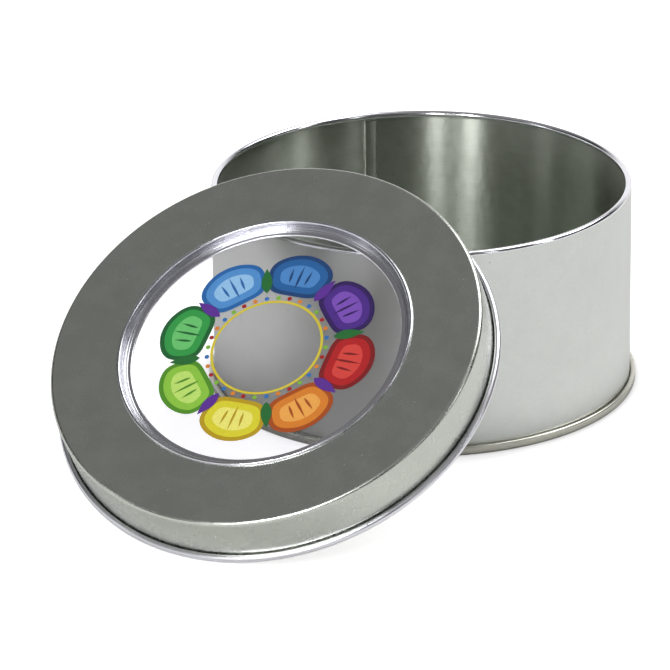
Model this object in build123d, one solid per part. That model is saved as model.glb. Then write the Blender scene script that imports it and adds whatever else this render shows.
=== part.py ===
from build123d import *
from math import cos, hypot, radians, sin
import os

# A round seamed tin with its slip lid leant against it, in millimetres, +Z up.
# The origin is on the tin's axis, in the plane that the tin stands on. The lid leans towards -Y.

# Tin body
tin_radius = 50.0          # outside of the wall
tin_height = 50.0          # floor to the top of the rim
sheet = 0.3                # thickness of the tinplate
rim_curl_radius = 0.8      # the inward curl at the mouth
curl_sides = 8             # a curl is rolled shut, and drawn filled and with flat sides

# Double seam round the foot
seam_height = 2.2
seam_gap = 0.15            # between two layers of the seam
hook_cover = 0.2           # from a hook's end to the layer that it points at
countersink = 3.0          # floor to the middle of the plate's sheet

# Side seam: the strip's two edges, hooked into each other and pressed flat
lock_width = 3.5
lock_gap = 0.08            # between two layers
lock_bend = 0.35           # where the inner edge leaves the wall
lock_overlap = 0.3         # how far the hooked lengths run into the plain wall
lock_tip_gap = 0.3         # from a hook's end to the fold round it
lock_end_gap = 0.4         # from the hooks to the curl above and the plate below
lock_angle = 130.3         # degrees from +X

# Lid
lid_clearance = 0.2        # between the skirt and the tin's wall
lid_height = 13.0          # top of the panel to the underside of the bead
lid_bevel = 0.7            # at the panel's edge, on the middle of the sheet
lid_bead_radius = 0.95     # the outward curl

# Window opening: raised bezel, step, ledge and hemmed edge
window_radius = 34.6       # outside of the bezel
bezel_width = 0.86
bezel_height = 0.6         # above the panel
window_step = 1.5          # top of the panel to the top of the ledge
ledge_width = 2.2          # step wall to the hemmed edge
hem_gap = 0.1              # between the ledge and the folded edge
hem_return = 1.1

# Pane and its print
pane_thickness = 0.5
pane_bond = 0.05           # adhesive between the hem and the pane
pane_inset = 0.3           # the pane's edge to the step wall
print_thickness = 0.1
print_bond = 0.02
print_margin = 4.9         # hemmed edge to the tips of the petals
petal_rise = 5.5           # how far each petal bows out between two notches
print_opening = 12.5       # radius of the bare middle
petal_count = 8

# How the lid leans
lid_lean = 32.5            # degrees from lying flat
rest_gap = 0.3             # between the lid and the rim

overrun = 1.0

half_sheet = sheet / 2
wall_middle = tin_radius - half_sheet
seam_pitch = sheet + seam_gap
lid_radius = tin_radius + lid_clearance + sheet
skirt_middle = lid_radius - half_sheet
lid_bead_centre = skirt_middle + lid_bead_radius - half_sheet
lid_bead_depth = lid_height - lid_bead_radius
rim_curl_centre = tin_radius - rim_curl_radius
rim_curl_height = tin_height - rim_curl_radius
step_wall = window_radius - bezel_width
clear_radius = step_wall - ledge_width
ledge_middle = -window_step - half_sheet
hem_middle = ledge_middle - sheet - hem_gap
pane_top = hem_middle - half_sheet - pane_bond
pane_bottom = pane_top - pane_thickness
pane_radius = step_wall - pane_inset
print_radius = clear_radius - print_margin


# The section of a sheet follows its middle line, drawn as radius and height.
def sheet_section(*middle_line):
    return trace(Polyline(*middle_line), sheet)


def curl_section(centre, height, radius):
    turn = 180 / curl_sides
    return Pos(centre, height) * RegularPolygon(radius, curl_sides, major_radius=False, rotation=turn)


def turned(section):
    return revolve(Plane.XZ * section, axis=Axis.Z)


# The wall's bottom edge is flanged out and hooked up, its top edge is curled in.
def wall_shell():
    foot = half_sheet + seam_pitch
    hook = wall_middle + 2 * seam_pitch
    hook_top = seam_height - sheet - hook_cover
    side = sheet_section(
        (hook, hook_top), (hook, foot), (wall_middle, foot), (wall_middle, rim_curl_height)
    )
    return turned(side + curl_section(rim_curl_centre, rim_curl_height, rim_curl_radius))


# Plan of the side seam: x along the wall, y outward from the wall's outside. The outer edge folds
# in and back, the inner edge steps in behind it and folds out and back, one inside the other.
def lock_plan():
    pitch = sheet + lock_gap
    layers = [-half_sheet - pitch * n for n in range(4)]
    fold = lock_width / 2 - pitch - half_sheet
    step_in = fold + 2 * pitch
    tip = fold - lock_tip_gap
    far = step_in + lock_bend + lock_overlap
    outer_edge = (
        Line((fold - lock_overlap, layers[0]), (fold, layers[0]))
        + CenterArc((fold, layers[1]), pitch, -90, 180)
        + Line((fold, layers[2]), (-tip, layers[2]))
    )
    inner_edge = (
        Line((tip, layers[1]), (-fold, layers[1]))
        + CenterArc((-fold, layers[2]), pitch, 90, 180)
        + FilletPolyline(
            (-fold, layers[3]),
            (step_in, layers[3]),
            (step_in, layers[0]),
            (far, layers[0]),
            radius=[2 * pitch, lock_bend],
        )
    )
    gap = Pos((fold + far - lock_overlap) / 2, 0) * Rectangle(
        far - lock_overlap - fold, 2 * (sheet + overrun)
    )
    return trace(outer_edge, sheet) + trace(inner_edge, sheet), gap


def make_body_wall():
    low = countersink + half_sheet + lock_end_gap
    high = rim_curl_height - rim_curl_radius - lock_end_gap
    hooks, gap = lock_plan()
    place = Rot(Z=lock_angle - 90) * Pos(0, tin_radius, low)
    slot = place * extrude(gap, high - low)
    return wall_shell() - slot + place * extrude(hooks, high - low)


# The plate's edge goes down inside the wall, round under the wall's flange, up outside it and back
# down between the flange's hook and the wall.
def make_base_plate():
    chuck = wall_middle - seam_pitch
    outside = wall_middle + 3 * seam_pitch
    hook = wall_middle + seam_pitch
    seam_top = seam_height - half_sheet
    hook_end = sheet + seam_pitch + hook_cover
    return turned(
        sheet_section(
            (0, countersink),
            (chuck, countersink),
            (chuck, half_sheet),
            (outside, half_sheet),
            (outside, seam_top),
            (hook, seam_top),
            (hook, hook_end),
        )
    )


# The lid in its own frame: its axis is Z, the top of its panel is at zero.
def lid_shell():
    bezel_outer = window_radius - half_sheet
    bezel_inner = step_wall + half_sheet
    crown = bezel_height - half_sheet
    hem_edge = clear_radius + half_sheet
    pressing = sheet_section(
        (skirt_middle, -lid_bead_depth),
        (skirt_middle, -half_sheet - lid_bevel),
        (skirt_middle - lid_bevel, -half_sheet),
        (bezel_outer, -half_sheet),
        (bezel_outer, crown),
        (bezel_inner, crown),
        (bezel_inner, ledge_middle),
        (hem_edge, ledge_middle),
        (hem_edge, hem_middle),
        (hem_edge + hem_return, hem_middle),
    )
    return turned(pressing + curl_section(lid_bead_centre, -lid_bead_depth, lid_bead_radius))


def window_pane():
    return Pos(0, 0, pane_bottom) * extrude(Circle(pane_radius), pane_thickness)


# A ring of petals round a bare middle: each petal's edge is an arc from one notch to the next.
def window_print():
    turn = 360 / petal_count
    chord_middle = Vector(print_radius - petal_rise, 0)
    notch = chord_middle * (1 / cos(radians(turn / 2)))
    notches = [notch.rotate(Axis.Z, turn * n) for n in range(petal_count + 1)]
    petals = [SagittaArc(start, end, -petal_rise) for start, end in zip(notches, notches[1:])]
    outline = make_face(petals) - Circle(print_opening)
    return Pos(0, 0, pane_top + print_bond) * extrude(outline, print_thickness)


# How far a flat-sided curl reaches from its centre, at an angle from the middle of a flat side.
def curl_reach(radius, angle):
    half_turn = 180 / curl_sides
    from_corner = angle % (2 * half_turn) - half_turn
    return radius * cos(radians(from_corner)) / cos(radians(half_turn))


# Height of the panel's middle: the lowest point of the leaning bead is on the floor.
def lid_centre_height():
    lean = radians(lid_lean)
    bead_height = curl_reach(lid_bead_radius, lid_lean)
    return lid_bead_depth * cos(lean) + lid_bead_centre * sin(lean) + bead_height


# Least distance between the rim and the lid, when the lid's middle is out by a given reach. Points
# along the middle of the rim's curl are taken into the lid's own frame, as radius and depth.
def rim_distance(reach):
    lean = radians(lid_lean)
    drop = rim_curl_height - lid_centre_height()
    nearest = reach
    for degrees in range(91):
        across = rim_curl_centre * sin(radians(degrees))
        along = reach - rim_curl_centre * cos(radians(degrees))
        depth = along * sin(lean) - drop * cos(lean)
        radius = hypot(across, along * cos(lean) + drop * sin(lean))
        on_skirt = min(max(depth, 0), lid_bead_depth)
        to_bead = hypot(radius - lid_bead_centre, depth - lid_bead_depth) - lid_bead_radius
        to_skirt = hypot(radius - skirt_middle, depth - on_skirt) - half_sheet
        to_inside = depth - (-pane_bottom if radius < step_wall + sheet else sheet)
        nearest = min(nearest, to_bead, to_skirt, max(to_inside, radius - lid_radius))
    return nearest - rim_curl_radius


# The lid is brought in from the side until its bead is a rest gap away from the rim.
def lid_reach():
    near, far = tin_radius, tin_radius + 2 * lid_radius
    while far - near > rest_gap / 1000:
        middle = (near + far) / 2
        if rim_distance(middle) < rest_gap:
            near = middle
        else:
            far = middle
    return far


reach = lid_reach()
lid_place = Pos(0, -reach, lid_centre_height()) * Rot(X=lid_lean)

nodes = {
    "body_wall": make_body_wall(),
    "base_plate": make_base_plate(),
    "lid_shell": lid_place * lid_shell(),
    "window_pane": lid_place * window_pane(),
    "window_print": lid_place * window_print(),
}

os.makedirs("parts", exist_ok=True)
for name, shape in nodes.items():
    export_step(shape, f"parts/{name}.step")
    box = shape.bounding_box()
    print(name, len(shape.solids()), "solid", round(shape.volume, 1), "mm3, lowest", round(box.min.Z, 3))
print("lid reach", round(reach, 2), "lid centre height", round(lid_centre_height(), 2))
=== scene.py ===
import math

import bmesh
import bpy
from mathutils import Matrix, Vector


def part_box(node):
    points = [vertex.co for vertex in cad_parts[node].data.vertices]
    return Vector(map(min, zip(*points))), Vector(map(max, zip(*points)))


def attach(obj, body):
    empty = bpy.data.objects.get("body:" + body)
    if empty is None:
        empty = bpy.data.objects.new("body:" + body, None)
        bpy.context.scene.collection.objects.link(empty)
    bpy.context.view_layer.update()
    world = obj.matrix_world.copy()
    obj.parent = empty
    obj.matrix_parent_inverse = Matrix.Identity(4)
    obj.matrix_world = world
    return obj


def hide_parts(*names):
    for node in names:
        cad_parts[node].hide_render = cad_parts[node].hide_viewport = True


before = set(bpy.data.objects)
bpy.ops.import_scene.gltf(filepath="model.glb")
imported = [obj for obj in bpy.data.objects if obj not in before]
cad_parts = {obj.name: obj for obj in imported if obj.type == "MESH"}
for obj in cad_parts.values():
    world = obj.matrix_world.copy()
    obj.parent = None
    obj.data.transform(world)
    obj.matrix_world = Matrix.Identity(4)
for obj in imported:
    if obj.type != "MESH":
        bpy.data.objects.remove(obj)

mm = 0.001
sameSpot = 1e-7  # metres; two points nearer than this are one
sharpAngle = math.radians(40)  # an edge bent further than this is shown sharp
curlSteps = 22  # stretches along a curl
roundSteps = 12  # stretches along a half round
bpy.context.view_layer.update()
print("frame loaded:", ", ".join(sorted(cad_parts)))


# Colours are sRGB hex; the shaders take linear values.
def colour(code):
    shares = [int(code[k:k + 2], 16) / 255 for k in (1, 3, 5)]
    return [s / 12.92 if s <= 0.04045 else ((s + 0.055) / 1.055) ** 2.4 for s in shares] + [1.0]


def grey(tone):
    return [tone, tone, tone, 1.0]


black, white = grey(0.0), grey(1.0)


# Stops of a colour ramp that goes from one colour to another over a span.
def fade(span, first, last):
    return list(zip(span, (first, last)))


# Adds a node, makes its own settings, and fills its inputs with values or with other nodes' outputs.
# A colour ramp also takes stops, each a place and a colour.
def addNode(tree, kind, inputs=None, stops=(), **settings):
    node = tree.nodes.new(kind)
    for name, value in settings.items():
        setattr(node, name, value)
    for socket, value in (inputs or {}).items():
        if isinstance(value, bpy.types.NodeSocket):
            tree.links.new(value, node.inputs[socket])
        else:
            node.inputs[socket].default_value = value
    for _ in stops[2:]:  # a new ramp has two stops
        node.color_ramp.elements.new(0.5)
    for k, (place, tone) in enumerate(stops):
        node.color_ramp.elements[k].position = place
        node.color_ramp.elements[k].color = tone
    return node


def newMaterial(name):
    material = bpy.data.materials.new(name)
    material.use_nodes = True
    material.node_tree.nodes.clear()
    return material, material.node_tree


# Middle lines of the sheet, in a plane of radius and height.
def arcLine(centre, radius, start, turn, steps):
    angles = [math.radians(start + turn * k / steps) for k in range(steps + 1)]
    return [Vector(centre) + radius * Vector((math.cos(a), math.sin(a))) for a in angles]


def bentLine(corners, radii, steps=7):
    corners = [Vector(c) for c in corners]
    line = [corners[0]]
    for before, corner, after, radius in zip(corners, corners[1:], corners[2:], radii):
        toBefore = (before - corner).normalized()
        toAfter = (after - corner).normalized()
        half = toBefore.angle(toAfter) / 2
        centre = corner + (toBefore + toAfter).normalized() * radius / math.sin(half)
        start = corner + toBefore * radius / math.tan(half) - centre
        end = corner + toAfter * radius / math.tan(half) - centre
        turn = start.angle_signed(end)
        for k in range(steps + 1):
            line.append(centre + Matrix.Rotation(-turn * k / steps, 2) @ start)
    return line + [corners[-1]]


# Both faces of a sheet that follows a middle line, as stretches of one closed outline.
def sheetOutline(line, thickness, sides=(0, 1)):
    line = [p for k, p in enumerate(line) if k == 0 or (p - line[k - 1]).length > sameSpot]
    left, right = [], []
    for k, point in enumerate(line):
        ahead = line[min(k + 1, len(line) - 1)] - line[max(k - 1, 0)]
        side = Vector((-ahead.y, ahead.x)).normalized() * thickness / 2
        left.append(point + side)
        right.append(point - side)
    return [(left, sides[0]), (right[::-1], sides[1])]


# Turns a closed outline round Z. Each stretch of it has points and the number of its material, or a
# rule that gives the number from the middle of a face. Flat faces stay flat beside the bends.
def lathe(name, stretches, segments, materials):
    points = [p for stretch, _ in stretches for p in stretch]
    middles = [(p + q) / 2 for p, q in zip(points, points[1:] + points[:1])]
    rules = [n for stretch, n in stretches for p in stretch]
    numbers = [n(middle) if callable(n) else n for n, middle in zip(rules, middles)]
    shape = bmesh.new()
    rings = []
    for k in range(segments):
        turn = 2 * math.pi * k / segments
        rings.append([shape.verts.new((p.x * math.cos(turn), p.x * math.sin(turn), p.y)) for p in points])
    for k, ring in enumerate(rings):
        after = rings[(k + 1) % segments]
        for i in range(len(points)):
            j = (i + 1) % len(points)
            face = shape.faces.new((ring[i], ring[j], after[j], after[i]))
            face.material_index = numbers[i]
            face.smooth = True
    bmesh.ops.remove_doubles(shape, verts=shape.verts, dist=sameSpot)
    bmesh.ops.recalc_face_normals(shape, faces=shape.faces)
    for edge in shape.edges:
        edge.smooth = edge.calc_face_angle(0) < sharpAngle
    piece = addPiece(name, shape, materials)
    normals = piece.modifiers.new("flatFaces", "WEIGHTED_NORMAL")
    normals.mode, normals.keep_sharp = "FACE_AREA", True
    normals.weight = 50  # the middle: by area alone
    return piece


def addPiece(name, shape, materials):
    mesh = bpy.data.meshes.new(name)
    shape.to_mesh(mesh)
    shape.free()
    for material in materials:
        mesh.materials.append(material)
    piece = bpy.data.objects.new(name, mesh)
    bpy.context.scene.collection.objects.link(piece)
    return piece


# Flat shapes of ink: each outline is a list of points, filled and given a thickness.
def inkLayer(name, outlines, low, high, materials):
    shape = bmesh.new()
    for outline, index in outlines:
        lower = [shape.verts.new((p[0], p[1], low)) for p in outline]
        upper = [shape.verts.new((p[0], p[1], high)) for p in outline]
        faces = [shape.faces.new(lower[::-1]), shape.faces.new(upper)]
        for i in range(len(outline)):
            j = (i + 1) % len(outline)
            faces.append(shape.faces.new((lower[i], lower[j], upper[j], upper[i])))
        for face in faces:
            face.material_index = index
    return addPiece(name, shape, materials)


# Noise: the span that nearly all its values lie in, and the narrower one that mottling runs over.
noise = {"span": (0.3, 0.7), "middle": (0.35, 0.65)}

# Small pits and grains in the tin, seen as specks: how far apart their cells are, a speck's core and
# soft edge as shares of a cell, and the span of the cells' chance numbers over which they begin to show.
specks = {"apart": 3.2 * mm, "sizeShares": (0.04, 0.07), "chance": (0.62, 0.66)}


# Tinplate: tin on rolled steel sheet. Cloudy mottling a few mm across, scattered specks, and fine grain
# that is stretched along the rolling direction, or follows the rings of a pressed form round its axis.
# The grain's depth and wave are heights of the surface, and its spread smears what it mirrors upright.
def tinplate(name, tones, roughness, grain, cloudSize=7 * mm):
    material, tree = newMaterial(name)
    dark, light, speck = (colour(tones[part]) for part in ("dark", "light", "speck"))
    place = addNode(tree, "ShaderNodeTexCoord").outputs["Object"]
    if "ringAxis" in grain:
        turned = addNode(
            tree, "ShaderNodeMapping", {"Vector": place, **grain["ringAxis"]}, vector_type="TEXTURE"
        ).outputs["Vector"]
        axes = addNode(tree, "ShaderNodeSeparateXYZ", {0: turned}).outputs
        flat = addNode(tree, "ShaderNodeCombineXYZ", {"X": axes["X"], "Y": axes["Y"]}).outputs[0]
        radius = addNode(tree, "ShaderNodeVectorMath", {0: flat}, operation="LENGTH").outputs["Value"]
        along = addNode(tree, "ShaderNodeCombineXYZ", {"X": radius, "Y": axes["Z"]})
    else:
        along = addNode(tree, "ShaderNodeMapping", {"Vector": place, "Scale": grain["stretch"]})
    cloud = addNode(
        tree, "ShaderNodeTexNoise",
        {"Vector": place, "Scale": 1 / cloudSize, "Detail": 4.0, "Roughness": 0.6},
    ).outputs["Fac"]
    fine = addNode(
        tree, "ShaderNodeTexNoise",
        {"Vector": along.outputs["Vector"], "Scale": 1 / grain["size"], "Detail": 3.0, "Roughness": 0.7},
    ).outputs["Fac"]
    cells = addNode(tree, "ShaderNodeTexVoronoi", {"Vector": place, "Scale": 1 / specks["apart"]}).outputs
    near = addNode(
        tree, "ShaderNodeValToRGB", {"Fac": cells["Distance"]},
        stops=fade(specks["sizeShares"], white, black),
    ).outputs["Color"]
    few = addNode(
        tree, "ShaderNodeValToRGB", {"Fac": cells["Color"]}, stops=fade(specks["chance"], black, white)
    ).outputs["Color"]
    spots = addNode(tree, "ShaderNodeMath", {0: near, 1: few}, operation="MULTIPLY").outputs["Value"]
    blotch = addNode(
        tree, "ShaderNodeValToRGB", {"Fac": cloud}, stops=fade(noise["middle"], dark, light)
    ).outputs["Color"]
    streak = addNode(
        tree, "ShaderNodeValToRGB", {"Fac": fine}, stops=fade(noise["span"], dark, light)
    ).outputs["Color"]
    sheetTone = addNode(
        tree, "ShaderNodeMix", {0: grain.get("share", 0.5), 6: blotch, 7: streak}, data_type="RGBA"
    ).outputs[2]
    spotted = addNode(
        tree, "ShaderNodeMix", {0: spots, 6: sheetTone, 7: speck}, data_type="RGBA"
    ).outputs[2]
    dull = addNode(
        tree, "ShaderNodeMapRange",
        {"Value": cloud, "From Min": noise["span"][0], "From Max": noise["span"][1],
         "To Min": roughness["low"], "To Max": roughness["high"]},
    ).outputs["Result"]
    waves = addNode(
        tree, "ShaderNodeBump", {"Height": cloud, "Strength": 1.0, "Distance": grain["wave"]}
    ).outputs["Normal"]
    relief = addNode(
        tree, "ShaderNodeBump",
        {"Height": fine, "Strength": 1.0, "Distance": grain["depth"], "Normal": waves},
    ).outputs["Normal"]
    finish = {"Base Color": spotted, "Metallic": 1.0, "Roughness": dull, "Normal": relief}
    if "spread" in grain:
        about = addNode(tree, "ShaderNodeTangent", direction_type="RADIAL", axis="Z").outputs["Tangent"]
        finish["Tangent"] = about
        finish["Anisotropic"] = grain["spread"]
        finish["Anisotropic Rotation"] = 0.25  # a quarter turn, from round the tin to upright
    shader = addNode(tree, "ShaderNodeBsdfPrincipled", finish)
    addNode(tree, "ShaderNodeOutputMaterial", {"Surface": shader.outputs["BSDF"]})
    return material


# Clear extruded sheet plastic: glossy and see-through, with faint smudges in its gloss. Its grey tint is
# painted shade on what is seen through it.
def clearSheet(name, look):
    material, tree = newMaterial(name)
    place = addNode(tree, "ShaderNodeTexCoord").outputs["Object"]
    smudge = addNode(
        tree, "ShaderNodeTexNoise", {"Vector": place, "Scale": 1 / look["smudgeSize"], "Detail": 3.0}
    ).outputs["Fac"]
    dull = addNode(
        tree, "ShaderNodeMapRange",
        {"Value": smudge, "From Min": look["smudges"][0], "From Max": look["smudges"][1],
         "To Min": look["clean"], "To Max": look["smudged"]},
    ).outputs["Result"]
    shader = addNode(
        tree, "ShaderNodeBsdfPrincipled",
        {"Base Color": colour(look["shadeTint"]), "Roughness": dull, "IOR": look["ior"],
         "Transmission Weight": 1.0},
    )
    addNode(tree, "ShaderNodeOutputMaterial", {"Surface": shader.outputs["BSDF"]})
    return material


# Printing ink on film: flat strong colour with a soft gloss, a little paler where it was laid on thin.
inkFilm = {"grain": 0.5 * mm, "thinShare": 0.86, "thinLift": 0.015, "thinning": (0.35, 0.75),
           "roughness": 0.38, "ior": 1.5}


def printInk(name, code):
    material, tree = newMaterial(name)
    place = addNode(tree, "ShaderNodeTexCoord").outputs["Object"]
    grain = addNode(
        tree, "ShaderNodeTexNoise", {"Vector": place, "Scale": 1 / inkFilm["grain"], "Detail": 2.0}
    ).outputs["Fac"]
    full = colour(code)
    thin = [min(1.0, c * inkFilm["thinShare"] + inkFilm["thinLift"]) for c in full[:3]] + [1.0]
    tone = addNode(
        tree, "ShaderNodeValToRGB", {"Fac": grain}, stops=fade(inkFilm["thinning"], full, thin)
    ).outputs["Color"]
    shader = addNode(
        tree, "ShaderNodeBsdfPrincipled",
        {"Base Color": tone, "Roughness": inkFilm["roughness"], "IOR": inkFilm["ior"]},
    )
    addNode(tree, "ShaderNodeOutputMaterial", {"Surface": shader.outputs["BSDF"]})
    return material


tin = {
    "radius": 50 * mm,
    "height": 50 * mm,
    "sheet": 0.3 * mm,
    "countersink": 3 * mm,
    "curl": 0.8 * mm,
    "curlTurn": 290,  # degrees
    "segments": 256,  # round the axis
}
seam = {
    "height": 2.2 * mm,
    "gap": 0.15 * mm,  # between two layers
    "bend": 0.34 * mm,  # radius of the sheet's middle
    "foot": 0.5 * mm,  # the same, for the bends that stand on the floor
    "cover": 0.2 * mm,  # from a hook's end to the layer that it points at
}
pitch = tin["sheet"] + seam["gap"]  # from the middle of one layer to the next
wallMiddle = tin["radius"] - tin["sheet"] / 2

# Outside of the wall: even, pale and satin, so that it takes the light of the room in soft gradients.
outsideTin = tinplate(
    "Tinplate_Rolled_Satin",
    {"dark": "#CED0CD", "light": "#D7D9D6", "speck": "#A5A7A1"},
    {"low": 0.3, "high": 0.36},
    {"size": 0.5 * mm, "stretch": (0.3, 0.3, 1), "depth": 0.0005 * mm, "wave": 0.004 * mm},
)
# Inside of the wall: bright from the rolls, grained upright. Its tone, darker than the outside's, is
# painted shade. It mirrors the lamps as upright streaks.
shadedInsideTin = tinplate(
    "Tinplate_Rolled_Bright_Shaded",
    {"dark": "#BBC0B6", "light": "#CACFC6", "speck": "#8B8F85"},
    {"low": 0.32, "high": 0.38},
    {"size": 0.4 * mm, "stretch": (0.1, 0.1, 1), "depth": 0.02 * mm, "wave": 0.05 * mm, "spread": 1.0},
    cloudSize=3.5 * mm,
)
# Flat and skirt of the lid: pressed, with a dull even tone and pale specks. It mirrors the dim room.
matTin = tinplate(
    "Tinplate_Pressed_Matt",
    {"dark": "#C0C3BC", "light": "#C9CCC4", "speck": "#F4F5F0"},
    {"low": 0.24, "high": 0.3},
    {"size": 0.35 * mm, "stretch": (1, 0.5, 1), "depth": 0.0002 * mm, "wave": 0.001 * mm},
)
# Inside of the base and of the lid: as the outside, a little duller, and a little darker in tone as
# painted shade, since it is seen in shade.
shadedPlainTin = tinplate(
    "Tinplate_Rolled_Plain_Shaded",
    {"dark": "#BBC0B6", "light": "#CACFC6", "speck": "#8B8F85"},
    {"low": 0.36, "high": 0.42},
    {"size": 0.4 * mm, "stretch": (1, 0.3, 1), "depth": 0.001 * mm, "wave": 0.01 * mm},
)
# Curl at the rim: burnished by the curling wheel, so glossier than the wall. Its near-white tone, paler
# than the wall's, is a painted highlight, so that it draws a thin white line round the mouth.
highlightCurlTin = tinplate(
    "Tinplate_Curled_Burnished_Highlight",
    {"dark": "#EAEAF0", "light": "#F4F4FA", "speck": "#C9CACD"},
    {"low": 0.11, "high": 0.15},
    {"size": 0.5 * mm, "stretch": (1, 1, 1), "depth": 0.001 * mm, "wave": 0.003 * mm},
)
# Bead of the lid: curled as the rim is, but softer. Its pale tone is a painted highlight, a broader and
# dimmer line.
highlightBeadTin = tinplate(
    "Tinplate_Curled_Satin_Highlight",
    {"dark": "#DCDCE2", "light": "#E8E8EE", "speck": "#C9CACD"},
    {"low": 0.27, "high": 0.32},
    {"size": 0.5 * mm, "stretch": (1, 1, 1), "depth": 0.001 * mm, "wave": 0.003 * mm},
)
# Double seam: rolled tight, slightly yellower than the wall above it.
seamTin = tinplate(
    "Tinplate_Seamed_Satin",
    {"dark": "#D2D1C6", "light": "#DCDBD0", "speck": "#A5A7A1"},
    {"low": 0.26, "high": 0.32},
    {"size": 0.5 * mm, "stretch": (0.3, 0.3, 1), "depth": 0.0005 * mm, "wave": 0.002 * mm},
)


# The wall: hooked into the double seam below, curled in at the mouth.
def makeWall():
    foot = tin["sheet"] / 2 + pitch
    hook = wallMiddle + 2 * pitch
    hookTop = seam["height"] - tin["sheet"] - seam["cover"]
    curlHeight = tin["height"] - tin["curl"]
    line = bentLine(
        [(hook, hookTop), (hook, foot), (wallMiddle, foot), (wallMiddle, curlHeight)],
        [seam["bend"], seam["bend"]],
    )
    curlCentre = (tin["radius"] - tin["curl"], curlHeight)
    line += arcLine(curlCentre, tin["curl"] - tin["sheet"] / 2, 0, tin["curlTurn"], curlSteps)

    def outerTin(point):  # highlightCurlTin at the rim, outsideTin below it
        return 2 if point.y > tin["height"] - 2 * tin["curl"] else 1

    stretches = sheetOutline(line, tin["sheet"], (0, outerTin))
    wall = lathe("tinWall", stretches, tin["segments"], [shadedInsideTin, outsideTin, highlightCurlTin])
    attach(wall, "base")
    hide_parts("body_wall")


# The strip's two edges are hooked together and pressed flat: four layers, seen as a low band inside.
sideSeam = {"angle": 130.3, "width": 3.5 * mm, "layer": 0.2 * mm, "round": 0.55 * mm, "endGap": 0.4 * mm}


def makeSideSeam():
    low = tin["countersink"] + tin["sheet"] / 2 + sideSeam["endGap"]
    high = tin["height"] - 2 * tin["curl"] - sideSeam["endGap"]
    outer = tin["radius"] - tin["sheet"] / 2
    inner = tin["radius"] - 3 * sideSeam["layer"] - tin["sheet"]
    half = sideSeam["width"] / 2
    corners = [(-half, outer), (-half, inner), (half, inner), (half, outer)]
    plan = []
    for flat in bentLine(corners, [sideSeam["round"]] * 2, steps=5):
        turn = flat.x / tin["radius"]
        plan.append(Vector((flat.y * math.sin(turn), flat.y * math.cos(turn))))
    shape = bmesh.new()
    rows = [[shape.verts.new((p.x, p.y, z)) for p in plan] for z in (low, high)]
    for i in range(len(plan)):
        j = (i + 1) % len(plan)
        face = shape.faces.new((rows[0][i], rows[0][j], rows[1][j], rows[1][i]))
        face.smooth = True
    shape.faces.new(rows[0][::-1])
    shape.faces.new(rows[1])
    bmesh.ops.recalc_face_normals(shape, faces=shape.faces)
    for edge in shape.edges:
        edge.smooth = edge.calc_face_angle(0) < sharpAngle
    band = addPiece("sideSeam", shape, [shadedInsideTin])
    band.data.transform(Matrix.Rotation(math.radians(sideSeam["angle"] - 90), 4, "Z"))
    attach(band, "base")


# The base plate: down inside the wall, round the foot, up and hooked over the wall's flange.
def makeBase():
    chuck = wallMiddle - pitch
    outside = wallMiddle + 3 * pitch
    hook = wallMiddle + pitch
    seamTop = seam["height"] - tin["sheet"] / 2
    hookEnd = tin["sheet"] + pitch + seam["cover"]
    corners = [
        (0, tin["countersink"]),
        (chuck, tin["countersink"]),
        (chuck, tin["sheet"] / 2),
        (outside, tin["sheet"] / 2),
        (outside, seamTop),
        (hook, seamTop),
        (hook, hookEnd),
    ]
    line = bentLine(corners, [seam["foot"]] * 3 + [seam["bend"]] * 2)
    plate = lathe("tinBase", sheetOutline(line, tin["sheet"]), tin["segments"], [shadedPlainTin, seamTin])
    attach(plate, "base")
    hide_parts("base_plate")


makeWall()
makeSideSeam()
makeBase()
print("tin built")

lid = {
    "lean": math.radians(32.5),
    "clearance": 0.2 * mm,
    "height": 13 * mm,
    "corner": 1.0 * mm,
    "bead": 0.95 * mm,
    "beadTurn": 290,  # degrees
}
window = {
    "radius": 34.6 * mm,
    "bezelWidth": 0.86 * mm,
    "bezelHeight": 0.6 * mm,
    "bezelFoot": 0.2 * mm,
    "ringEdge": 0.03 * mm,  # how far the burnished ring reaches onto the flat
    "step": 1.5 * mm,
    "ledge": 2.2 * mm,
    "ledgeBend": 0.25 * mm,
    "ribs": (0.6 * mm, 1.2 * mm),  # the step's wall to the middle of each
    "ribWidth": 0.26 * mm,  # from a rib's middle to its foot
    "ribHeight": 0.13 * mm,
    "ribSteps": 16,
    "hem": 0.2 * mm,  # radius of the sheet's middle
    "hemReturn": 1.1 * mm,
}
pane = {"thickness": 0.5 * mm, "bond": 0.05 * mm, "inset": 0.3 * mm, "round": 0.12 * mm}
# The pane's grey tint is painted shade on what is seen through it.
paneSheet = {"shadeTint": "#E4E3E6", "ior": 1.49, "clean": 0.02, "smudged": 0.06,
             "smudgeSize": 9 * mm, "smudges": (0.4, 0.7)}
lidMiddle = tin["radius"] + lid["clearance"] + tin["sheet"] / 2
beadCentre = lidMiddle + lid["bead"] - tin["sheet"] / 2
beadDepth = lid["height"] - lid["bead"]
stepWall = window["radius"] - window["bezelWidth"]
clearRadius = stepWall - window["ledge"]
paneTop = -(window["step"] + tin["sheet"] + 2 * window["hem"] + pane["bond"])

# The pane is a flat disc, so the middle of its box is the middle of the disc, which places the lid.
lidAxis = Vector((0, -math.sin(lid["lean"]), math.cos(lid["lean"])))
paneLow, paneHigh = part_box("window_pane")
lidCentre = (paneLow + paneHigh) / 2 - lidAxis * (paneTop - pane["thickness"] / 2)
lidPlace = Matrix.Translation(lidCentre) @ Matrix.Rotation(lid["lean"], 4, "X")

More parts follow.
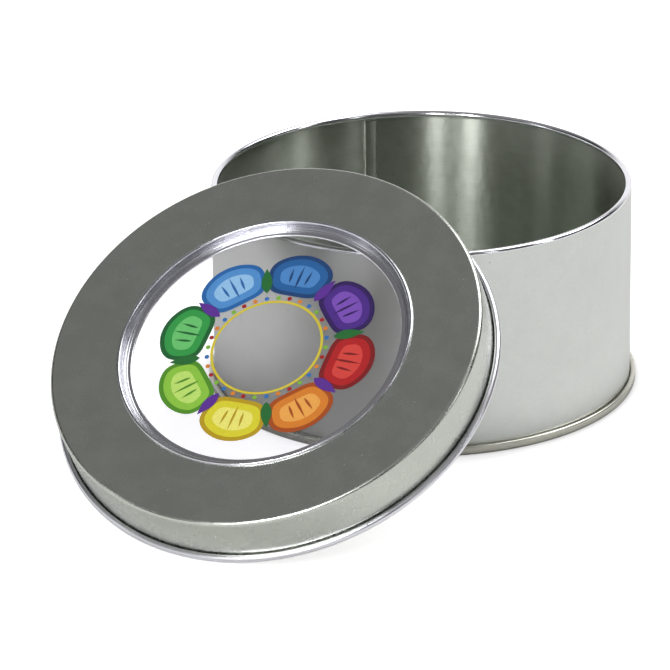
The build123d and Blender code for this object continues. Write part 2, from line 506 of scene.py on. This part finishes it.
# Ring round the window: pressed deep and burnished, with fine grain round its axis. Its tone, paler
# than the flat's, is a painted highlight, and its fine dark and light lines round its axis are grain
# and painted highlight lines both.
highlightRingTin = tinplate(
    "Tinplate_Pressed_Burnished_Highlight",
    {"dark": "#B2B2BA", "light": "#EFEFF4", "speck": "#A9ABAD"},
    {"low": 0.19, "high": 0.26},
    {"size": 0.4 * mm, "ringAxis": {"Location": lidCentre, "Rotation": (lid["lean"], 0, 0)},
     "depth": 0.02 * mm, "wave": 0.002 * mm, "share": 0.95},
)


# What belongs to the lid is drawn round Z with the lid's flat at zero, and then put in its place.
def setOnLid(piece):
    piece.data.transform(lidPlace)
    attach(piece, "lid")


def makeLid():
    half = tin["sheet"] / 2
    bezelBend = (window["bezelWidth"] - tin["sheet"]) / 2
    bezelOuter = window["radius"] - half
    bezelInner = stepWall + half
    crown = window["bezelHeight"] - half - bezelBend
    ledgeMiddle = -window["step"] - half
    hemCentre = clearRadius + window["hem"] + half
    beadStart = 180 + lid["beadTurn"]
    line = arcLine(
        (beadCentre, -beadDepth), lid["bead"] - half, beadStart, -lid["beadTurn"], curlSteps
    )
    line += bentLine(
        [(lidMiddle, -beadDepth), (lidMiddle, -half), (bezelOuter, -half), (bezelOuter, crown)],
        [lid["corner"] - half, window["bezelFoot"]],
    )[1:]
    line += arcLine((bezelOuter - bezelBend, crown), bezelBend, 0, 180, roundSteps)[1:]
    firstRib = bezelInner - window["ribs"][0] + window["ribWidth"]
    line += bentLine(
        [(bezelInner, crown), (bezelInner, ledgeMiddle), (firstRib, ledgeMiddle)], [window["ledgeBend"]]
    )[1:]
    for rib in window["ribs"]:
        for k in range(window["ribSteps"] + 1):
            share = 2 * k / window["ribSteps"] - 1
            rise = window["ribHeight"] * (1 + math.cos(math.pi * share)) / 2
            line.append(Vector((bezelInner - rib - share * window["ribWidth"], ledgeMiddle + rise)))
    line += arcLine(
        (hemCentre, ledgeMiddle - window["hem"]), window["hem"], 90, 180, roundSteps
    )[1:]
    line += [Vector((hemCentre + window["hemReturn"], ledgeMiddle - 2 * window["hem"]))]

    def outerTin(point):  # highlightRingTin round the window, matTin outside it
        return 2 if point.x < window["radius"] + window["ringEdge"] else 1

    def innerTin(point):  # highlightBeadTin where the sheet curls out, shadedPlainTin inside the lid
        return 3 if point.x > lidMiddle + tin["sheet"] else 0

    stretches = sheetOutline(line, tin["sheet"], (innerTin, outerTin))
    shell = lathe("lidShell", stretches, tin["segments"], [shadedPlainTin, matTin, highlightRingTin, highlightBeadTin])
    setOnLid(shell)
    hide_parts("lid_shell")


def makePane():
    outer = stepWall - pane["inset"]
    low = paneTop - pane["thickness"]
    outline = bentLine(
        [(0, low), (outer, low), (outer, paneTop), (0, paneTop)], [pane["round"]] * 2, steps=4
    )
    clear = clearSheet("Plastic_Sheet_Clear", paneSheet)
    disc = lathe("windowPane", [(outline, 0)], tin["segments"], [clear])
    setOnLid(disc)
    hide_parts("window_pane")


makeLid()
makePane()
print("lid built")

# The print: a rosette of eight round petals, each in three shades of one colour and three fine veins,
# with a pointed leaf between two petals and a thin yellow ring and a row of dots round the bare middle.
rosette = {
    "petals": 8,
    "shades": (("Outer", 0), ("Middle", 1.1 * mm), ("Inner", 2.9 * mm)),  # how far in each begins
    "bottom": paneTop + 0.02 * mm,
    "layer": 0.018 * mm,
    "inner": 14.8 * mm,
    "tip": 26.5 * mm,
    "tipRadius": 9.6 * mm,
    "gap": 0.3 * mm,
    "sharpness": 7,
    "ringInner": 12.6 * mm,
    "ringOuter": 13.2 * mm,
    "ringSteps": 96,
    "dots": 32,
    "dotRow": 14.0 * mm,
    "dotRadius": 0.55 * mm,
    "veinRoot": 17.0 * mm,
    "veinTip": 23.6 * mm,
    "sideVeinRoot": 18.4 * mm,
    "sideVeinTip": 22.6 * mm,
    "veinTurn": 0.105,  # radians between two veins
    "veinWidth": 0.3 * mm,
    "leafRoot": 15.6 * mm,
    "leafTip": 22.8 * mm,
    "leafWidth": 1.3 * mm,
    "belly": 0.8,
}
petalShades = [
    ("Red", "#7E0F14", "#B3161A", "#D8423A"),
    ("Orange", "#A84A12", "#DB8026", "#F0A94E"),
    ("Yellow", "#B99A14", "#DDD32C", "#F1EA74"),
    ("Lime", "#4F8F1F", "#8CC63F", "#BFE36F"),
    ("Green", "#14602C", "#2E9A45", "#69C56E"),
    ("Sky", "#1F63A8", "#4F8FD0", "#93C3EC"),
    ("Blue", "#123F73", "#1F5F9F", "#4A87C8"),
    ("Purple", "#2C1258", "#4A2587", "#7B4DB8"),
]
ringDotShades = [("Red", "#A51518"), ("Lime", "#7DB535"), ("Blue", "#2F6FB5"), ("Orange", "#D98025")]


def polar(radius, angle):
    return Vector((radius * math.cos(angle), radius * math.sin(angle)))


# A petal's edge, seen from a point inside it: the two sides of its share of the ring, a round tip and
# a straight root. They run into each other with soft corners, softer at a lower sharpness.
def petalOutline(middle, inset, steps=48):
    half = math.pi / rosette["petals"]
    eye = (rosette["inner"] + rosette["tip"]) / 2
    sideway = eye * math.sin(half) - rosette["gap"] / 2 - inset
    tipRadius = rosette["tipRadius"] - inset
    behind = eye - (rosette["tip"] - rosette["tipRadius"])
    root = eye - rosette["inner"] - inset
    points = []
    for k in range(steps):
        turn = 2 * math.pi * k / steps
        c, s = math.cos(turn), math.sin(turn)
        reaches = [1 / (math.sqrt(tipRadius ** 2 - (behind * s) ** 2) - behind * c)]
        reaches += [max(0, abs(s) * math.cos(half) - c * math.sin(half)) / sideway, max(0, -c) / root]
        out = sum(r ** rosette["sharpness"] for r in reaches) ** (-1 / rosette["sharpness"])
        points.append(Matrix.Rotation(-middle, 2) @ Vector((eye + out * c, out * s)))
    return points


def circleOutline(centre, radius, steps=20):
    return [centre + polar(radius, 2 * math.pi * k / steps) for k in range(steps)]


# A pointed leaf along a radius. A belly below 1 puts its widest place nearer its root.
def leafOutline(middle, root, tip, width, steps=12):
    shares = [k / steps for k in range(steps + 1)]
    bows = [math.sin(math.pi * t ** rosette["belly"]) for t in shares]
    edge = [(root + (tip - root) * t, width * bow) for t, bow in zip(shares, bows)]
    edge += [(x, -y) for x, y in edge[-2:0:-1]]
    return [Matrix.Rotation(-middle, 2) @ Vector(p) for p in edge]


def makePrint():
    turn = 2 * math.pi / rosette["petals"]
    low, layer = rosette["bottom"], rosette["layer"]
    layers = []
    for level, (label, inset) in enumerate(rosette["shades"]):
        inks = [printInk(f"Ink_{shades[0]}_{label}", shades[level + 1]) for shades in petalShades]
        outlines = [(petalOutline(turn * k, inset), k) for k in range(rosette["petals"])]
        base = low + level * layer
        layers.append(inkLayer(f"petals{label}", outlines, base, base + layer, inks))
    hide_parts("window_print")

    top = low + len(rosette["shades"]) * layer
    leafInks = [printInk("Ink_Leaf_Purple", "#5B2A93"), printInk("Ink_Leaf_Green", "#1F6B2E")]
    leafSize = [rosette[part] for part in ("leafRoot", "leafTip", "leafWidth")]
    leaves = [(leafOutline(turn * (k + 0.5), *leafSize), k % 2) for k in range(rosette["petals"])]
    layers.append(inkLayer("leaves", leaves, top, top + layer, leafInks))

    veinInks = [printInk(f"Ink_{shades[0]}_Vein", shades[1]) for shades in petalShades]
    veins = []
    for k in range(rosette["petals"]):
        for side in (-1, 0, 1):
            ends = ("sideVeinRoot", "sideVeinTip") if side else ("veinRoot", "veinTip")
            root, tip = (rosette[end] for end in ends)
            middle = turn * k + side * rosette["veinTurn"]
            veins.append((leafOutline(middle, root, tip, rosette["veinWidth"]), k))
    layers.append(inkLayer("petalVeins", veins, top, top + layer, veinInks))

    ring = []
    for k in range(rosette["ringSteps"]):
        a, b = (2 * math.pi * (k + s) / rosette["ringSteps"] for s in (0, 1))
        inner, outer = rosette["ringInner"], rosette["ringOuter"]
        ring.append(([polar(inner, a), polar(outer, a), polar(outer, b), polar(inner, b)], 0))
    ringInks = [printInk("Ink_Ring_Yellow", "#D9C62A")]
    layers.append(inkLayer("ringBand", ring, low, low + layer, ringInks))

    dots = []
    for k in range(rosette["dots"]):
        centre = polar(rosette["dotRow"], 2 * math.pi * k / rosette["dots"])
        dots.append((circleOutline(centre, rosette["dotRadius"]), k % len(ringDotShades)))
    dotInks = [printInk(f"Ink_Dot_{label}", code) for label, code in ringDotShades]
    layers.append(inkLayer("ringDots", dots, low, low + layer, dotInks))
    for piece in layers:
        setOnLid(piece)


makePrint()
print("print built")

# The camera: a long lens, from the front right and a little above, turned by under a degree.
camera = {
    "azimuth": math.radians(26.62),
    "elevation": math.radians(21.86),
    "roll": math.radians(-0.685),
    "distance": 1.2525,
    "aside": 21.07 * mm,
    "down": 9.40 * mm,
    "lens": 278.65,  # its length and the sensor's width are in mm
    "sensor": 36,
    "clip": (0.05, 20),
}


def makeCamera():
    a, e = camera["azimuth"], camera["elevation"]
    back = Vector((math.sin(a) * math.cos(e), -math.cos(a) * math.cos(e), math.sin(e)))
    right = Vector((math.cos(a), math.sin(a), 0))
    up = back.cross(right)
    turn = Matrix.Rotation(camera["roll"], 3, back)
    right, up = turn @ right, turn @ up
    data = bpy.data.cameras.new("photoCamera")
    data.lens, data.sensor_width = camera["lens"], camera["sensor"]
    data.clip_start, data.clip_end = camera["clip"]
    eye = bpy.data.objects.new("photoCamera", data)
    bpy.context.scene.collection.objects.link(eye)
    place = back * camera["distance"] - right * camera["aside"] + up * camera["down"]
    eye.matrix_world = Matrix.Translation(place) @ Matrix((right, up, back)).transposed().to_4x4()
    bpy.context.scene.camera = eye


# The floor gives off some light of its own: to the camera, behind the pane, and mirrored in the tin.
# The painted contact shadow goes from the tin's foot outward: a share of the way, and the floor's tone
# there.
floorPlate = {
    "half": 4.0,
    "colour": "#F4F4F3",
    "contactFrom": 51 * mm,
    "contactTo": 66 * mm,
    "paintedContactShade": ((0.0, 0.05), (0.06, 0.35), (0.2, 0.74), (0.6, 0.95), (1.0, 1.0)),
    "glowBare": 0.65,
    "glowBehindPane": 1.0,
    "glowMirrored": 0.08,
}


# A pale floor that the camera and the pane see as the white background, with the object's shadow. Close
# round the tin's foot its colour is painted darker, a painted contact shadow where less light comes in.
def makeFloor():
    shape = bmesh.new()
    half = floorPlate["half"]
    corners = [(-half, -half), (half, -half), (half, half), (-half, half)]
    shape.faces.new([shape.verts.new((x, y, 0)) for x, y in corners])
    material, tree = newMaterial("Studio_Floor")
    ray = addNode(tree, "ShaderNodeLightPath").outputs
    bare = addNode(
        tree, "ShaderNodeMath",
        {0: ray["Is Camera Ray"], 1: floorPlate["glowBare"]}, operation="MULTIPLY",
    ).outputs["Value"]
    mirrored = addNode(
        tree, "ShaderNodeMath",
        {0: ray["Is Glossy Ray"], 1: floorPlate["glowMirrored"], 2: bare}, operation="MULTIPLY_ADD",
    ).outputs["Value"]
    seen = addNode(
        tree, "ShaderNodeMath",
        {0: ray["Is Transmission Ray"], 1: floorPlate["glowBehindPane"], 2: mirrored},
        operation="MULTIPLY_ADD",
    ).outputs["Value"]
    place = addNode(tree, "ShaderNodeTexCoord").outputs["Object"]
    radius = addNode(tree, "ShaderNodeVectorMath", {0: place}, operation="LENGTH").outputs["Value"]
    share = addNode(
        tree, "ShaderNodeMapRange",
        {"Value": radius, "From Min": floorPlate["contactFrom"], "From Max": floorPlate["contactTo"]},
    ).outputs["Result"]
    shade = addNode(
        tree, "ShaderNodeValToRGB", {"Fac": share},
        stops=[(out, grey(tone)) for out, tone in floorPlate["paintedContactShade"]],
    ).outputs["Color"]
    tone = addNode(
        tree, "ShaderNodeMix", {0: 1.0, 6: colour(floorPlate["colour"]), 7: shade},
        data_type="RGBA", blend_type="MULTIPLY",
    ).outputs[2]
    matt = addNode(tree, "ShaderNodeBsdfDiffuse", {"Color": tone}).outputs["BSDF"]
    glow = addNode(tree, "ShaderNodeEmission", {"Color": white, "Strength": seen}).outputs["Emission"]
    both = addNode(tree, "ShaderNodeAddShader", {0: matt, 1: glow}).outputs["Shader"]
    addNode(tree, "ShaderNodeOutputMaterial", {"Surface": both})
    floor = addPiece("studioFloor", shape, [material])


# Studio surroundings: a white backdrop behind the object, swept down to the floor on the left, and a
# dim room in front and overhead, which is what the flat of the lid and the inside of the tin mirror.
# The first three are tones. The rest are spans of a direction's share away from the camera, upward, or
# to the right, over which one part of the room goes over into the next.
room = {
    "walls": 0.05,
    "farLeft": 0.008,
    "ceiling": 0.235,
    "backdrop": (0.6, 0.85),
    "backdropTop": (0.4, 0.6),
    "sweepTop": (0.16, 0.26),
    "sweepRight": (0.1, 0.5),
    "leftSide": (0.55, 0.8),
    "overhead": (0.5, 0.8),
}


def makeWorld():
    world = bpy.data.worlds.new("studio")
    bpy.context.scene.world = world
    world.use_nodes = True
    tree = world.node_tree
    tree.nodes.clear()
    direction = addNode(tree, "ShaderNodeTexCoord").outputs["Generated"]
    axes = addNode(tree, "ShaderNodeSeparateXYZ", {0: direction}).outputs
    away = (-math.sin(camera["azimuth"]), math.cos(camera["azimuth"]), 0)
    depth = addNode(
        tree, "ShaderNodeVectorMath", {0: direction, 1: away}, operation="DOT_PRODUCT"
    ).outputs["Value"]
    behind = addNode(
        tree, "ShaderNodeValToRGB", {"Fac": depth}, stops=fade(room["backdrop"], black, white)
    ).outputs["Color"]
    low = addNode(
        tree, "ShaderNodeValToRGB", {"Fac": axes["Z"]}, stops=fade(room["backdropTop"], white, black)
    ).outputs["Color"]
    backdrop = addNode(tree, "ShaderNodeMath", {0: behind, 1: low}, operation="MULTIPLY").outputs["Value"]
    nearFloor = addNode(
        tree, "ShaderNodeValToRGB", {"Fac": axes["Z"]}, stops=fade(room["sweepTop"], white, black)
    ).outputs["Color"]
    left = addNode(
        tree, "ShaderNodeValToRGB", {"Fac": axes["X"]}, stops=fade(room["sweepRight"], white, black)
    ).outputs["Color"]
    sweep = addNode(tree, "ShaderNodeMath", {0: nearFloor, 1: left}, operation="MULTIPLY").outputs["Value"]
    lit = addNode(tree, "ShaderNodeMath", {0: backdrop, 1: sweep}, operation="MAXIMUM").outputs["Value"]
    leftward = addNode(
        tree, "ShaderNodeMath", {0: axes["X"], 1: -1.0}, operation="MULTIPLY"
    ).outputs["Value"]
    walls = addNode(
        tree, "ShaderNodeValToRGB", {"Fac": leftward},
        stops=fade(room["leftSide"], grey(room["walls"]), grey(room["farLeft"])),
    ).outputs["Color"]
    overhead = addNode(
        tree, "ShaderNodeValToRGB", {"Fac": axes["Z"]}, stops=fade(room["overhead"], black, white)
    ).outputs["Color"]
    dim = addNode(
        tree, "ShaderNodeMix", {0: overhead, 6: walls, 7: grey(room["ceiling"])}, data_type="RGBA"
    ).outputs[2]
    around = addNode(tree, "ShaderNodeMix", {0: lit, 6: dim, 7: white}, data_type="RGBA").outputs[2]
    ray = addNode(tree, "ShaderNodeLightPath").outputs
    seen = addNode(
        tree, "ShaderNodeMath",
        {0: ray["Is Camera Ray"], 1: ray["Is Transmission Ray"]}, operation="MAXIMUM",
    ).outputs["Value"]
    shown = addNode(tree, "ShaderNodeMix", {0: seen, 6: around, 7: white}, data_type="RGBA").outputs[2]
    background = addNode(tree, "ShaderNodeBackground", {"Color": shown, "Strength": 1.0})
    addNode(tree, "ShaderNodeOutputWorld", {"Surface": background.outputs["Background"]})


# Each softbox: degrees round the object and up, width, height, and brightness. The large one lights
# the scene from behind. The strips give the tin its upright streaks, inside and out.
softboxDistance = 1.5
softboxes = {
    "softboxKey": (150, 56, 1.0, 1.0, 4),
    "stripWide": (-3.5, 28, 0.13, 0.9, 19),
    "stripNarrow": (16.5, 28, 0.1, 0.9, 18),
    "stripRight": (97, 25, 0.12, 0.8, 4.5),
    "stripDim": (64, 25, 0.12, 0.8, 2),
    "stripLeft": (-49, 25, 0.12, 0.8, 2),
}


# A softbox faces the object. Its power follows its brightness and its area.
def addSoftbox(name, azimuth, elevation, width, height, brightness):
    a, e = math.radians(azimuth), math.radians(elevation)
    toward = Vector((math.sin(a) * math.cos(e), -math.cos(a) * math.cos(e), math.sin(e)))
    data = bpy.data.lights.new(name, "AREA")
    data.shape = "RECTANGLE"
    data.size, data.size_y = width, height
    data.energy = brightness * math.pi * width * height
    lamp = bpy.data.objects.new(name, data)
    bpy.context.scene.collection.objects.link(lamp)
    lamp.location = toward * softboxDistance
    lamp.rotation_mode = "QUATERNION"
    lamp.rotation_quaternion = toward.to_track_quat("Z", "Y")


makeFloor()
makeWorld()
for name, softbox in softboxes.items():
    addSoftbox(name, *softbox)
makeCamera()
bpy.context.scene.view_settings.view_transform = "Standard"
print("studio built")
